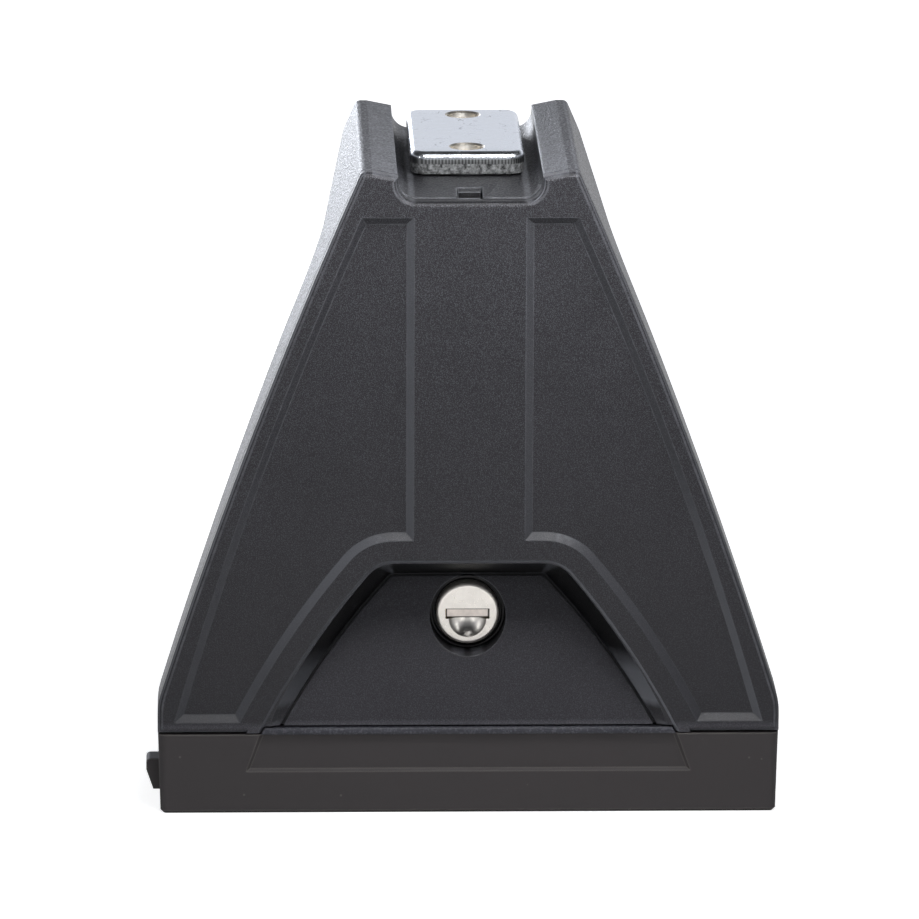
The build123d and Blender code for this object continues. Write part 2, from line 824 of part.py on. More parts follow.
pieces = {
    "leg_body": leg_body,
    "front_cover": front_cover,
    "base_pad": base_pad,
    "bar_plate": bar_plate,
    "bar_bolts": bar_bolts,
    "bar_bolt_washers": bar_bolt_washers,
    "saddle_bushes": saddle_bushes,
    "base_bushes": base_bushes,
    "load_plates": load_plates,
    "lock_sleeve": lock_sleeve,
    "sleeve_clip": sleeve_clip,
    "lock_core": lock_core,
    "lock_wafers": lock_wafers,
    "dust_shutter": dust_shutter,
    "lock_tongue": lock_tongue,
    "tongue_washer": tongue_washer,
    "tongue_screw": tongue_screw,
}
os.makedirs("parts", exist_ok=True)
for name, made in pieces.items():
    made.part.label = name
    export_step(made.part, f"parts/{name}.step")
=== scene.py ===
"""Finishes, fine pieces and stage for the roof bar foot."""

import math

import bmesh
import bpy
from bpy.props import FloatProperty, FloatVectorProperty, PointerProperty
from mathutils import Matrix, Quaternion, Vector


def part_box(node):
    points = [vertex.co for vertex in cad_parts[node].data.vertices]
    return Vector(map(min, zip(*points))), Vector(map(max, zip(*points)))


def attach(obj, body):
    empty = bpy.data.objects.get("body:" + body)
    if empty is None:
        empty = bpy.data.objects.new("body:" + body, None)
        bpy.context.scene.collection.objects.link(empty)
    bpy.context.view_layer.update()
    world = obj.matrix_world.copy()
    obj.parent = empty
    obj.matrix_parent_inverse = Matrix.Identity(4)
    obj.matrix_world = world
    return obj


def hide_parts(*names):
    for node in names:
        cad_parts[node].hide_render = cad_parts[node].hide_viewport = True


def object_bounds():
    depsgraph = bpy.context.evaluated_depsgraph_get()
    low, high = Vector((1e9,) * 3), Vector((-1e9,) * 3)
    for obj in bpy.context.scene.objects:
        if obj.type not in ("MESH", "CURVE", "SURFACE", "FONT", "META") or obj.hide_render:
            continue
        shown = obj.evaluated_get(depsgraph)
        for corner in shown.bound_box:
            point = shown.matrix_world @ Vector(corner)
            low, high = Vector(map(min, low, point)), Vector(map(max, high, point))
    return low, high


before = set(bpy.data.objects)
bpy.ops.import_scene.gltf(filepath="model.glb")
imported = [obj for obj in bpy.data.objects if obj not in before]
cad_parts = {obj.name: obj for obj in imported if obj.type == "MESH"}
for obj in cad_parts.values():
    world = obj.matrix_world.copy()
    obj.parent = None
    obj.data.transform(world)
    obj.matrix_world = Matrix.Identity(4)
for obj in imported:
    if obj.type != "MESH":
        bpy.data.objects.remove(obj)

bl_info = {
    "name": "Roof bar foot",
    "version": (1, 0, 0),
    "blender": (4, 5, 0),
    "location": "View3D > Sidebar > Roof bar foot",
    "description": "Finishes the roof bar foot's packed pieces and sets its stage",
    "category": "Object",
}

MM = 0.001
CAD_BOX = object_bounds()
PLATE_LOW, PLATE_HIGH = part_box("bar_plate")
BOLTS_LOW, BOLTS_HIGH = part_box("bar_bolts")
CORE_LOW, CORE_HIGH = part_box("lock_core")
LEAF_LOW, LEAF_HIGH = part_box("dust_shutter")
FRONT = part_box("front_cover")[0].y

# Heights on the foot
SKIRT, ABOVE_SKIRT = 17 * MM, 18 * MM  # top of the cover's skirt, and where its painted paler look ends
POCKET_TOP = 52 * MM  # upper edge of the lock's pocket
CHANNEL = 118.6 * MM  # floor of the bar's channel
CHANNEL_UNDER, CHANNEL_OVER = 2 * MM, 1 * MM  # how far from it a point still counts as the floor
PLAIN_BELOW, GRAINED_ABOVE = 30 * MM, 100 * MM  # the nylon's grain, and its edge lines of rubbed wear and painted highlight, grow between these
DULL_BELOW, LIT_ABOVE = 25 * MM, 50 * MM  # painted light on bevels that look sideways or up grows between these
LIT_BELOW, DULL_ABOVE = 45 * MM, 70 * MM  # painted light on bevels that look down fades upwards between these

# Depths between which a point comes to lie inside the pocket, and inside the lock's scoop
POCKET_DEPTHS = (FRONT + 0.5 * MM, FRONT + 0.9 * MM)
SCOOP_DEPTHS = (CORE_LOW.y + 0.02 * MM, CORE_LOW.y + 0.1 * MM)

# Nylon, rubber and the lock
PLAIN_SHARE = 0.3  # grain, and edge lines of rubbed wear and painted highlight, that are left at the foot
DEPTH_SCALE = 0.55  # the grain's scale along the foot's depth, where it is drawn out
PAINTED_SHADE_REACH = 6 * MM  # how far a corner's painted shade spreads
PAD_EDGE = 0.4 * MM  # width of the moulding lines on the pad
SCOOP_RADIUS = 4.95 * MM  # the lock's scoop lies inside this
FAN_TOP = 0.3 * MM  # height above the lock's axis where the scoop's painted dark reflection starts
LEAF_SHADE_MARGINS = (0.1 * MM, 0.3 * MM)  # painted shade along the leaf's edges ends between these

# The bar plate: its faces' material slots, how finely its rounds are cut, and its holes
SHEARED, BROKEN, TAPPED = 1, 2, 3
CORNER_STEPS, ROLL_STEPS, HOLE_STEPS = 12, 10, 64
LONG_EDGE, LONG_EDGE_CUTS = 5 * MM, 40
HOLE_RADIUS = 3.05 * MM
HOLE_BEVEL = 0.35 * MM
BOLT_INSET = 5 * MM  # from an end of the bolts' box to that bolt's axis
THREAD_DEPTH = 0.5 * MM
THREAD_PROFILE = ((-0.1, -0.7), (1.0, -0.45), (1.0, -0.35), (-0.1, -0.1))  # shares of its depth and pitch

# Stage, in metres apart from the camera's sensor
FLOOR_REACH, FLOOR_GAP = 4.0, 0.02 * MM
SENSOR_MM, SIGHT = 36.0, 20

# Meshes
TOUCH = 1e-7  # points nearer than this are one, and edges that rise by less are level
SMOOTH_BELOW = math.radians(35)  # faces that meet at less than this are shaded as one

# Sockets of a Mix node: its factor, its two numbers and its two colours
FACTOR, NUMBER_A, NUMBER_B, COLOUR_A, COLOUR_B = 0, 2, 3, 6, 7


def linear(hex_colour):
    """Linear red, green, blue and alpha of an sRGB hex colour."""
    channels = [int(hex_colour[i : i + 2], 16) / 255 for i in (1, 3, 5)]
    return (*(c / 12.92 if c <= 0.04045 else ((c + 0.055) / 1.055) ** 2.4 for c in channels), 1.0)


def colour(hex_colour, name, description):
    """A colour property that starts from an sRGB hex value."""
    return FloatVectorProperty(
        name=name, description=description, default=linear(hex_colour), size=4, min=0, max=1, subtype="COLOR"
    )


def length(millimetres, name, description):
    """A length property that starts from a size in millimetres."""
    return FloatProperty(
        name=name, description=description, default=millimetres * MM, min=0, unit="LENGTH", precision=5
    )


def angle(degrees, name, description):
    """An angle property that starts from degrees."""
    return FloatProperty(name=name, description=description, default=math.radians(degrees), subtype="ANGLE")


def add_node(tree, kind, inputs=None, **settings):
    """Adds a node with its settings, and fills its inputs with values, sockets or other nodes' first outputs."""
    node = tree.nodes.new(kind)
    for name, value in settings.items():
        setattr(node, name, value)
    for socket, value in (inputs or {}).items():
        if isinstance(value, bpy.types.Node):
            value = next(output for output in value.outputs if output.enabled)
        if isinstance(value, bpy.types.NodeSocket):
            tree.links.new(value, node.inputs[socket])
        else:
            node.inputs[socket].default_value = value
    return node


def new_material(name):
    """A material, its empty tree and its Object coordinates."""
    material = bpy.data.materials.new(name)
    material.use_nodes = True
    tree = material.node_tree
    tree.nodes.clear()
    return material, tree, add_node(tree, "ShaderNodeTexCoord").outputs["Object"]


def per(millimetres):
    """Texture scale that gives features of about this size."""
    return 1 / (millimetres * MM)


def mottled(tree, base, texture, tones, span=(0.3, 0.7)):
    """A colour that a texture takes from one tone to another over a span of the texture's values."""
    tone = add_node(
        tree,
        "ShaderNodeMapRange",
        {"Value": texture, "From Min": span[0], "From Max": span[1], "To Min": tones[0], "To Max": tones[1]},
    )
    return add_node(
        tree, "ShaderNodeMix", {FACTOR: 1.0, COLOUR_A: base, COLOUR_B: tone}, data_type="RGBA", blend_type="MULTIPLY"
    )


def edge_lines(tree, width, full, most):
    """Normals rounded over the edges, and a mask of the lines where they leave the faces' own normals."""
    rounded = add_node(tree, "ShaderNodeBevel", {"Radius": width}, samples=8)
    faces = add_node(tree, "ShaderNodeNewGeometry").outputs["Normal"]
    agree = add_node(tree, "ShaderNodeVectorMath", {0: rounded, 1: faces}, operation="DOT_PRODUCT")
    lines = add_node(
        tree, "ShaderNodeMapRange", {"Value": agree, "From Min": 0.998, "From Max": full, "To Max": most}
    )
    return rounded, lines


def surface_turn(tree):
    """Parts of the surface's own normal along the foot's axes."""
    normal = add_node(tree, "ShaderNodeTexCoord").outputs["Normal"]
    return add_node(tree, "ShaderNodeSeparateXYZ", {"Vector": normal}).outputs


def shown_rays(tree):
    """Light Path's outputs, and a mask of the rays that show what they meet: camera, mirror and glass."""
    rays = add_node(tree, "ShaderNodeLightPath").outputs
    shown = rays["Is Camera Ray"]
    for kind in ("Is Glossy Ray", "Is Transmission Ray"):
        shown = add_node(tree, "ShaderNodeMath", {0: shown, 1: rays[kind]}, operation="MAXIMUM")
    return rays, shown


def dress(node_names, material):
    """Gives CAD nodes their material."""
    for name in node_names:
        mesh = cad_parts[name].data
        mesh.materials.clear()
        mesh.materials.append(material)


def keep_piece(bm, name, body, materials):
    """Turns a bmesh into a piece at the origin that rides on a body."""
    mesh = bpy.data.meshes.new(name)
    bmesh.ops.remove_doubles(bm, verts=bm.verts[:], dist=TOUCH)
    bmesh.ops.recalc_face_normals(bm, faces=bm.faces[:])
    for face in bm.faces:
        face.smooth = True
    for edge in bm.edges:
        edge.smooth = not edge.is_manifold or edge.calc_face_angle(0) < SMOOTH_BELOW
    bm.to_mesh(mesh)
    bm.free()
    for material in materials:
        mesh.materials.append(material)
    piece = bpy.data.objects.new(name, mesh)
    bpy.context.scene.collection.objects.link(piece)
    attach(piece, body)
    return piece


class FootColours(bpy.types.PropertyGroup):
    """Colours of the foot's finishes."""

    cover: colour("#232226", "Cover", "Nylon of the front cover")
    body: colour("#24242a", "Body", "Nylon of the tower")
    grain: colour("#5a5b61", "Grain", "Light tips of the nylon's grain")
    # Pale edge lines, partly rubbed wear and partly painted highlight; also the painted highlight on rounded sides
    # and the painted light on bevels
    rubbed: colour("#72747a", "Rubbed edge", "Light line along the nylon's edges")
    pad: colour("#373334", "Pad", "Rubber of the base pad")
    dust: colour("#77746f", "Dust", "Specks and moulding lines on the base pad")
    zinc: colour("#dadee4", "Zinc", "Zinc plating of the plate and fasteners")
    nick: colour("#3a3c40", "Nick", "Bottom of a hairline nick in the plating")
    bush: colour("#6f7174", "Bush", "Turned steel of the bushes")
    sheared: colour("#c6c8c9", "Sheared steel", "Smooth band on the plate's punched edge")
    fracture: colour("#c2c4c5", "Fracture", "Broken band on the plate's punched edge")
    tapped: colour("#d9d3c9", "Tapped steel", "Bare thread in the plate's holes")
    nickel: colour("#ece7e0", "Nickel", "Satin nickel of the lock")
    # A painted reflection: the dark fan that the mirrored scoop shows
    scoop_reflection: colour("#4a4a4c", "Key mark", "Marks that keys leave in the lock's scoop")
    leaf: colour("#e2d8d0", "Leaf", "Stainless leaf behind the key slot")
    # Also the painted shade along the stainless leaf's edges
    acetal: colour("#141416", "Acetal", "Lock sleeve")
    acetal_grain: colour("#2a2a2d", "Acetal grain", "Light tips of the lock sleeve's grain")
    # The sleeve's edge lines, partly rubbed wear and partly painted highlight, and its bevels' painted light
    acetal_edge: colour("#2f2f32", "Acetal edge", "Light line along the lock sleeve's edges")
    brass: colour("#c9a559", "Brass", "Lock wafers")
    spring: colour("#7d7f83", "Spring steel", "Clip on the lock sleeve")


class FootSizes(bpy.types.PropertyGroup):
    """Sizes of the fine pieces and textures."""

    grain: length(0.16, "Cover grain", "Size of the grain on the front cover")
    pebble: length(0.4, "Tower grain", "Size of the coarser grain on the tower")
    # The edge lines are partly rubbed wear and partly painted highlight
    edge: length(0.32, "Cover edge", "Width of the rubbed line along the cover's edges")
    ridge: length(0.9, "Tower edge", "Width of the scuffed ridge along the tower's edges")
    roll: length(1.33, "Die roll", "Rounding that the punch leaves on the plate's top edge")
    shear: length(0.9, "Sheared band", "Height of the smooth band on the plate's edge")
    corner: length(3.0, "Plate corner", "Radius of the plate's corners")
    taper: length(0.25, "Broken taper", "How far the broken band draws in towards the plate's underside")
    striation: length(0.62, "Striation", "Spacing of the upright lines on the sheared band")
    pitch: length(1.0, "Thread pitch", "Pitch of the bolts and of the plate's holes")


class FootStage(bpy.types.PropertyGroup):
    """Camera and light."""

    azimuth: angle(-1.6, "Azimuth", "Camera's turn from the front")
    elevation: angle(14.2, "Elevation", "Camera's height angle")
    roll: angle(0.22, "Roll", "Camera's turn about its own axis")
    distance: FloatProperty(name="Distance", description="Camera's distance", default=1.6, min=0.1, unit="LENGTH")
    lens: FloatProperty(name="Lens", description="Focal length in millimetres", default=336.3, min=1)
    aim: FloatVectorProperty(
        name="Aim",
        description="Point at the picture's middle",
        default=(-0.0019, -0.02, 0.0687),
        unit="LENGTH",
        subtype="XYZ",
    )
    surround: FloatProperty(name="Surround", description="Strength of the even white light", default=0.14, min=0)
    dim: FloatProperty(name="Room", description="Strength of the dim room beside the camera", default=0.4, min=0)
    ceiling: FloatProperty(name="Ceiling", description="Strength of the dark ceiling", default=0.1, min=0)
    lift: FloatProperty(
        name="Floor lift", description="How far the floor near the foot is lifted to white", default=0.8, min=0
    )


def painted_light_and_shade(tree, spot, turn):
    """Painted shade and painted light on the nylon's colour, from where a point lies and how it faces: below 1 it is
    darker, above 1 it is paler.
    """
    # Painted shade darkens corners
    open_air = add_node(tree, "ShaderNodeAmbientOcclusion", {"Distance": PAINTED_SHADE_REACH}, samples=4)
    share = add_node(
        tree,
        "ShaderNodeMapRange",
        {"Value": open_air.outputs["AO"], "From Min": 0.3, "From Max": 0.75, "To Min": 0.1, "To Max": 1.0},
    )
    # Painted shadow darkens the faces that look down under the pocket's upper edge
    overhang = add_node(
        tree, "ShaderNodeMapRange", {"Value": turn["Z"], "From Min": -0.2, "From Max": -0.45, "To Max": 0.9}
    )
    inside = add_node(
        tree,
        "ShaderNodeMapRange",
        {"Value": spot["Y"], "From Min": POCKET_DEPTHS[0], "From Max": POCKET_DEPTHS[1]},
    )
    low = add_node(tree, "ShaderNodeMath", {0: spot["Z"], 1: POCKET_TOP}, operation="LESS_THAN")
    sunk = add_node(tree, "ShaderNodeMath", {0: inside, 1: low}, operation="MULTIPLY")
    shadow_under_edge = add_node(tree, "ShaderNodeMath", {0: overhang, 1: sunk}, operation="MULTIPLY")
    clear = add_node(tree, "ShaderNodeMath", {0: 1.0, 1: shadow_under_edge}, operation="SUBTRACT")
    # Painted light makes the pocket's panel, which leans back, paler
    leaning = add_node(
        tree,
        "ShaderNodeMapRange",
        {"Value": turn["Z"], "From Min": 0.28, "From Max": 0.33, "To Min": 1.0, "To Max": 1.45},
    )
    forward = add_node(tree, "ShaderNodeMath", {0: turn["Y"], 1: -0.88}, operation="LESS_THAN")
    painted_panel_light = add_node(
        tree, "ShaderNodeMix", {FACTOR: forward, NUMBER_A: 1.0, NUMBER_B: leaning}, data_type="FLOAT"
    )
    # Painted light makes the skirt paler
    painted_skirt_light = add_node(
        tree,
        "ShaderNodeMapRange",
        {"Value": spot["Z"], "From Min": ABOVE_SKIRT, "From Max": SKIRT, "To Min": 1.0, "To Max": 2.2},
    )
    # Painted shade darkens the channel's floor where it looks up
    upward = add_node(
        tree,
        "ShaderNodeMapRange",
        {"Value": turn["Z"], "From Min": 0.6, "From Max": 0.9, "To Min": 1.0, "To Max": 0.4},
    )
    above = add_node(tree, "ShaderNodeMath", {0: spot["Z"], 1: CHANNEL - CHANNEL_UNDER}, operation="GREATER_THAN")
    under = add_node(tree, "ShaderNodeMath", {0: spot["Z"], 1: CHANNEL + CHANNEL_OVER}, operation="LESS_THAN")
    between = add_node(tree, "ShaderNodeMath", {0: above, 1: under}, operation="MULTIPLY")
    painted_floor_shade = add_node(tree, "ShaderNodeMix", {FACTOR: between, NUMBER_A: 1.0, NUMBER_B: upward}, data_type="FLOAT")
    for factor in (clear, painted_panel_light, painted_skirt_light, painted_floor_shade):
        share = add_node(tree, "ShaderNodeMath", {0: share, 1: factor}, operation="MULTIPLY")
    return share


def wear_and_highlight_share(tree, place, turn, lines):
    """How far the nylon is lightened, in patches: lines along its edges that are partly rubbed wear and partly
    painted highlight, and a painted highlight on its rounded sides.
    """
    # A painted highlight lies on rounded sides where they start to turn away from the front
    aside = add_node(tree, "ShaderNodeMath", {0: turn["X"]}, operation="ABSOLUTE")
    turning = add_node(
        tree, "ShaderNodeMapRange", {"Value": aside, "From Min": 0.06, "From Max": 0.14, "To Max": 0.5}
    )
    turned = add_node(tree, "ShaderNodeMapRange", {"Value": aside, "From Min": 0.45, "From Max": 0.32})
    rim = add_node(tree, "ShaderNodeMath", {0: turning, 1: turned}, operation="MULTIPLY")
    edge_wear_and_highlight = add_node(tree, "ShaderNodeMath", {0: rim, 1: lines}, operation="MAXIMUM")
    scuffs = add_node(
        tree, "ShaderNodeTexNoise", {"Vector": place, "Scale": per(2.5), "Detail": 5.0, "Roughness": 0.7}
    )
    patchy = add_node(
        tree,
        "ShaderNodeMapRange",
        {"Value": scuffs, "From Min": 0.35, "From Max": 0.62, "To Min": 0.35, "To Max": 1.0},
    )
    return add_node(tree, "ShaderNodeMath", {0: edge_wear_and_highlight, 1: patchy}, operation="MULTIPLY")


def painted_bevel_light(tree, spot, turn):
    """How much painted light the bevels get: less where they face right, near the foot, and high up where they look
    down."""
    side = add_node(
        tree,
        "ShaderNodeMapRange",
        {"Value": turn["X"], "From Min": -0.5, "From Max": 0.5, "To Min": 0.9, "To Max": 0.4},
    )
    rise = add_node(
        tree,
        "ShaderNodeMapRange",
        {"Value": spot["Z"], "From Min": DULL_BELOW, "From Max": LIT_ABOVE, "To Min": 0.55},
    )
    fall = add_node(
        tree,
        "ShaderNodeMapRange",
        {"Value": spot["Z"], "From Min": DULL_ABOVE, "From Max": LIT_BELOW, "To Min": 0.35, "To Max": 1.0},
    )
    down = add_node(tree, "ShaderNodeMapRange", {"Value": turn["Z"], "From Min": -0.05, "From Max": -0.15})
    share = add_node(tree, "ShaderNodeMix", {FACTOR: down, NUMBER_A: rise, NUMBER_B: fall}, data_type="FLOAT")
    shade = add_node(tree, "ShaderNodeMath", {0: side, 1: share}, operation="MULTIPLY")
    # Faces that look up are left out, and so are those that turn too far from the front, or too little
    sideways = add_node(
        tree, "ShaderNodeMapRange", {"Value": turn["Z"], "From Min": 0.7, "From Max": 0.6, "To Max": shade}
    )
    steep = add_node(
        tree, "ShaderNodeMapRange", {"Value": turn["Y"], "From Min": -0.5, "From Max": -0.58, "To Max": sideways}
    )
    shallow = add_node(tree, "ShaderNodeMapRange", {"Value": turn["Y"], "From Min": -0.8, "From Max": -0.74})
    return add_node(tree, "ShaderNodeMath", {0: steep, 1: shallow}, operation="MULTIPLY")


def nylon(name, base, grain_colour, wear_and_highlight_colour, grain_size, edge, contrast, height, wear_and_highlight):
    """Glass-filled nylon moulded against a spark-eroded tool: matt graphite whose fine pebbled grain glints in
    tiny points, plainer towards the foot, with lighter lines along its edges that are partly rubbed wear and partly
    painted highlight, painted light on its bevels, and painted shade and light by where a point lies and faces."""
    material, tree, place = new_material(name)
    spot = add_node(tree, "ShaderNodeSeparateXYZ", {"Vector": place}).outputs
    turn = surface_turn(tree)
    tip_share, line_share, bump_share = (
        add_node(
            tree,
            "ShaderNodeMapRange",
            {
                "Value": spot["Z"],
                "From Min": PLAIN_BELOW,
                "From Max": GRAINED_ABOVE,
                "To Min": PLAIN_SHARE * most,
                "To Max": most,
            },
        )
        for most in (contrast, wear_and_highlight, 1.0)
    )
    # The grain is drawn out along the foot's depth, since the faces that run that way are seen at a low angle
    drawn = add_node(tree, "ShaderNodeMapping", {"Vector": place, "Scale": (1.0, DEPTH_SCALE, 1.0)})
    pebbles = add_node(
        tree, "ShaderNodeTexNoise", {"Vector": drawn, "Scale": 1 / grain_size, "Detail": 1.5, "Roughness": 0.6}
    )
    tips = add_node(
        tree, "ShaderNodeMapRange", {"Value": pebbles, "From Min": 0.5, "From Max": 0.62, "To Max": tip_share}
    )
    tinted = add_node(
        tree, "ShaderNodeMix", {FACTOR: tips, COLOUR_A: base, COLOUR_B: grain_colour}, data_type="RGBA"
    )
    clouds = add_node(tree, "ShaderNodeTexNoise", {"Vector": place, "Scale": per(14), "Detail": 2.0})
    shaded = mottled(tree, tinted, clouds, (0.93, 1.07))
    # Painted shade and painted light multiply the colour
    with_painted_light_and_shade = add_node(
        tree,
        "ShaderNodeMix",
        {FACTOR: 1.0, COLOUR_A: shaded, COLOUR_B: painted_light_and_shade(tree, spot, turn)},
        data_type="RGBA",
        blend_type="MULTIPLY",
    )
    rounded, lines = edge_lines(tree, edge, 0.965, line_share)
    # Edge lines, partly rubbed wear and partly painted highlight, and the bevels' painted light
    wear_and_painted_light = add_node(
        tree,
        "ShaderNodeMath",
        {0: wear_and_highlight_share(tree, place, turn, lines), 1: painted_bevel_light(tree, spot, turn)},
        operation="MAXIMUM",
    )
    colour_with_painted_light = add_node(
        tree, "ShaderNodeMix", {FACTOR: wear_and_painted_light, COLOUR_A: with_painted_light_and_shade, COLOUR_B: wear_and_highlight_colour}, data_type="RGBA"
    )
    gloss = add_node(
        tree,
        "ShaderNodeMapRange",
        {"Value": pebbles, "From Min": 0.3, "From Max": 0.7, "To Min": 0.48, "To Max": 0.36},
    )
    relief = add_node(
        tree,
        "ShaderNodeBump",
        {"Height": pebbles, "Normal": rounded, "Strength": bump_share, "Distance": height},
    )
    shader = add_node(
        tree,
        "ShaderNodeBsdfPrincipled",
        {"Base Color": colour_with_painted_light, "Roughness": gloss, "Normal": relief, "IOR": 1.53, "Specular IOR Level": 0.32},
    )
    add_node(tree, "ShaderNodeOutputMaterial", {"Surface": shader})
    return material


class FOOT_OT_nylon(bpy.types.Operator):
    """Finish the tower and the front cover in grained nylon"""

    bl_idname = "foot.nylon"
    bl_label = "Tower and cover"

    def execute(self, context):
        colours, sizes = context.scene.foot_colours, context.scene.foot_sizes
        shared = {"grain_colour": colours.grain, "wear_and_highlight_colour": colours.rubbed}
        # Both grains are drawn coarser than they are, so that they show, and the tower's more than the cover's
        tower = nylon(
            "grained_nylon_body",
            colours.body,
            **shared,
            grain_size=sizes.pebble,
            edge=sizes.ridge,
            contrast=0.8,
            height=0.22 * MM,
            wear_and_highlight=0.6,
        )
        cover = nylon(
            "grained_nylon_cover",
            colours.cover,
            **shared,
            grain_size=sizes.grain,
            edge=sizes.edge,
            contrast=0.68,
            height=0.12 * MM,
            wear_and_highlight=0.9,
        )
        dress(["leg_body"], tower)
        dress(["front_cover"], cover)
        return {"FINISHED"}


class FOOT_OT_pad(bpy.types.Operator):
    """Finish the base pad in moulded rubber"""

    bl_idname = "foot.pad"
    bl_label = "Base pad"

    def execute(self, context):
        colours = context.scene.foot_colours
        # Moulded black rubber: matt and slightly brown, with a cloudy bloom, a faint skin, pale moulding lines along
        # its edges and a few specks of dust.
        material, tree, place = new_material("moulded_rubber")
        bloom = add_node(
            tree, "ShaderNodeTexNoise", {"Vector": place, "Scale": per(18), "Detail": 4.0, "Distortion": 0.6}
        )
        specks = add_node(tree, "ShaderNodeTexVoronoi", {"Vector": place, "Scale": per(5.5)})
        dust = add_node(
            tree, "ShaderNodeMapRange", {"Value": specks, "From Min": 0.05, "From Max": 0.03, "To Max": 0.3}
        )
        rounded, lines = edge_lines(tree, PAD_EDGE, 0.97, 0.3)
        tinted = mottled(tree, colours.pad, bloom, (0.88, 1.14))
        for mask in (dust, lines):
            tinted = add_node(
                tree, "ShaderNodeMix", {FACTOR: mask, COLOUR_A: tinted, COLOUR_B: colours.dust}, data_type="RGBA"
            )
        # The skin is drawn coarser than it is, so that it shows
        skin = add_node(tree, "ShaderNodeTexNoise", {"Vector": place, "Scale": per(0.5), "Detail": 2.0})
        relief = add_node(
            tree, "ShaderNodeBump", {"Height": skin, "Normal": rounded, "Strength": 0.2, "Distance": 0.05 * MM}
        )
        gloss = add_node(
            tree,
            "ShaderNodeMapRange",
            {"Value": bloom, "From Min": 0.3, "From Max": 0.7, "To Min": 0.6, "To Max": 0.74},
        )
        shader = add_node(
            tree,
            "ShaderNodeBsdfPrincipled",
            {"Base Color": tinted, "Roughness": gloss, "Normal": relief, "IOR": 1.52},
        )
        add_node(tree, "ShaderNodeOutputMaterial", {"Surface": shader})
        dress(["base_pad"], material)
        return {"FINISHED"}


def plated_steel(name, base, nick_colour, roughness, patch_size):
    """Zinc-plated steel: bright and slightly blue, with cloudy patches of plating, hairline nicks and fine handling
    scratches. Other bright metals with the same marks take it in their own colour."""
    material, tree, place = new_material(name)
    patches = add_node(
        tree, "ShaderNodeTexNoise", {"Vector": place, "Scale": per(patch_size), "Detail": 5.0, "Roughness": 0.6}
    )
    clean = mottled(tree, base, patches, (0.9, 1.05), span=(0.4, 0.6))
    # Nicks are short stretches of a wandering contour line
    contour = add_node(tree, "ShaderNodeTexNoise", {"Vector": place, "Scale": per(5), "Detail": 1.0})
    level = add_node(tree, "ShaderNodeMath", {0: contour, 1: 0.5}, operation="SUBTRACT")
    apart = add_node(tree, "ShaderNodeMath", {0: level}, operation="ABSOLUTE")
    hairline = add_node(
        tree, "ShaderNodeMapRange", {"Value": apart, "From Min": 0.012, "From Max": 0.004, "To Max": 0.55}
    )
    stretch = add_node(tree, "ShaderNodeMapRange", {"Value": patches, "From Min": 0.53, "From Max": 0.56})
    nicks = add_node(tree, "ShaderNodeMath", {0: hairline, 1: stretch}, operation="MULTIPLY")
    tinted = add_node(
        tree, "ShaderNodeMix", {FACTOR: nicks, COLOUR_A: clean, COLOUR_B: nick_colour}, data_type="RGBA"
    )
    # Scratches run one way, each about twelve times as long as it is wide, and wider than they are so that they show
    turned = add_node(
        tree, "ShaderNodeMapping", {"Vector": place, "Rotation": (0.0, 0.0, 0.5), "Scale": (1.0, 0.08, 1.0)}
    )
    streaks = add_node(tree, "ShaderNodeTexNoise", {"Vector": turned, "Scale": per(0.3), "Detail": 2.0})
    scratches = add_node(
        tree, "ShaderNodeMapRange", {"Value": streaks, "From Min": 0.62, "From Max": 0.75, "To Max": 1.0}
    )
    relief = add_node(tree, "ShaderNodeBump", {"Height": scratches, "Strength": 0.25, "Distance": 0.01 * MM})
    gloss = add_node(
        tree,
        "ShaderNodeMapRange",
        {
            "Value": patches,
            "From Min": 0.3,
            "From Max": 0.7,
            "To Min": roughness * 0.8,
            "To Max": roughness * 1.25,
        },
    )
    shader = add_node(
        tree,
        "ShaderNodeBsdfPrincipled",
        {"Base Color": tinted, "Metallic": 1.0, "Roughness": gloss, "Normal": relief},
    )
    add_node(tree, "ShaderNodeOutputMaterial", {"Surface": shader})
    return material


def sheared_steel(name, base, spacing):
    """Steel that a punch has sheared: bright, with upright lines drawn by the die's edge."""
    material, tree, place = new_material(name)
    upright = add_node(tree, "ShaderNodeMapping", {"Vector": place, "Scale": (1.0, 1.0, 0.0)})
    # A diagonal wave repeats after tau / (10 x its scale)
    drawn = add_node(
        tree,
        "ShaderNodeTexWave",
        {"Vector": upright, "Scale": math.tau / (10 * spacing), "Distortion": 1.6, "Detail": 2.0},
        bands_direction="DIAGONAL",
    ).outputs["Fac"]
    tinted = mottled(tree, base, drawn, (0.26, 1.0), span=(0.0, 1.0))
    relief = add_node(tree, "ShaderNodeBump", {"Height": drawn, "Strength": 0.5, "Distance": 0.03 * MM})
    shader = add_node(
        tree,
        "ShaderNodeBsdfPrincipled",
        {"Base Color": tinted, "Metallic": 1.0, "Roughness": 0.34, "Normal": relief},
    )
    add_node(tree, "ShaderNodeOutputMaterial", {"Surface": shader})
    return material


def broken_steel(name, base):
    """Steel broken off below the shear: grey and rough, with dark pits and bright crystal faces."""
    material, tree, place = new_material(name)
    crystals = add_node(
        tree, "ShaderNodeTexNoise", {"Vector": place, "Scale": per(0.9), "Detail": 5.0, "Roughness": 0.75}
    )
    tinted = mottled(tree, base, crystals, (0.1, 1.3), span=(0.36, 0.64))
    relief = add_node(tree, "ShaderNodeBump", {"Height": crystals, "Strength": 0.6, "Distance": 0.08 * MM})
    shader = add_node(
        tree,
        "ShaderNodeBsdfPrincipled",
        {"Base Color": tinted, "Metallic": 1.0, "Roughness": 0.6, "Normal": relief},
    )
    add_node(tree, "ShaderNodeOutputMaterial", {"Surface": shader})
    return material


def edges_of(verts):
    """Edges that touch these vertices, each once and in the same order on every run."""
    return list(dict.fromkeys(edge for vert in verts for edge in vert.link_edges))


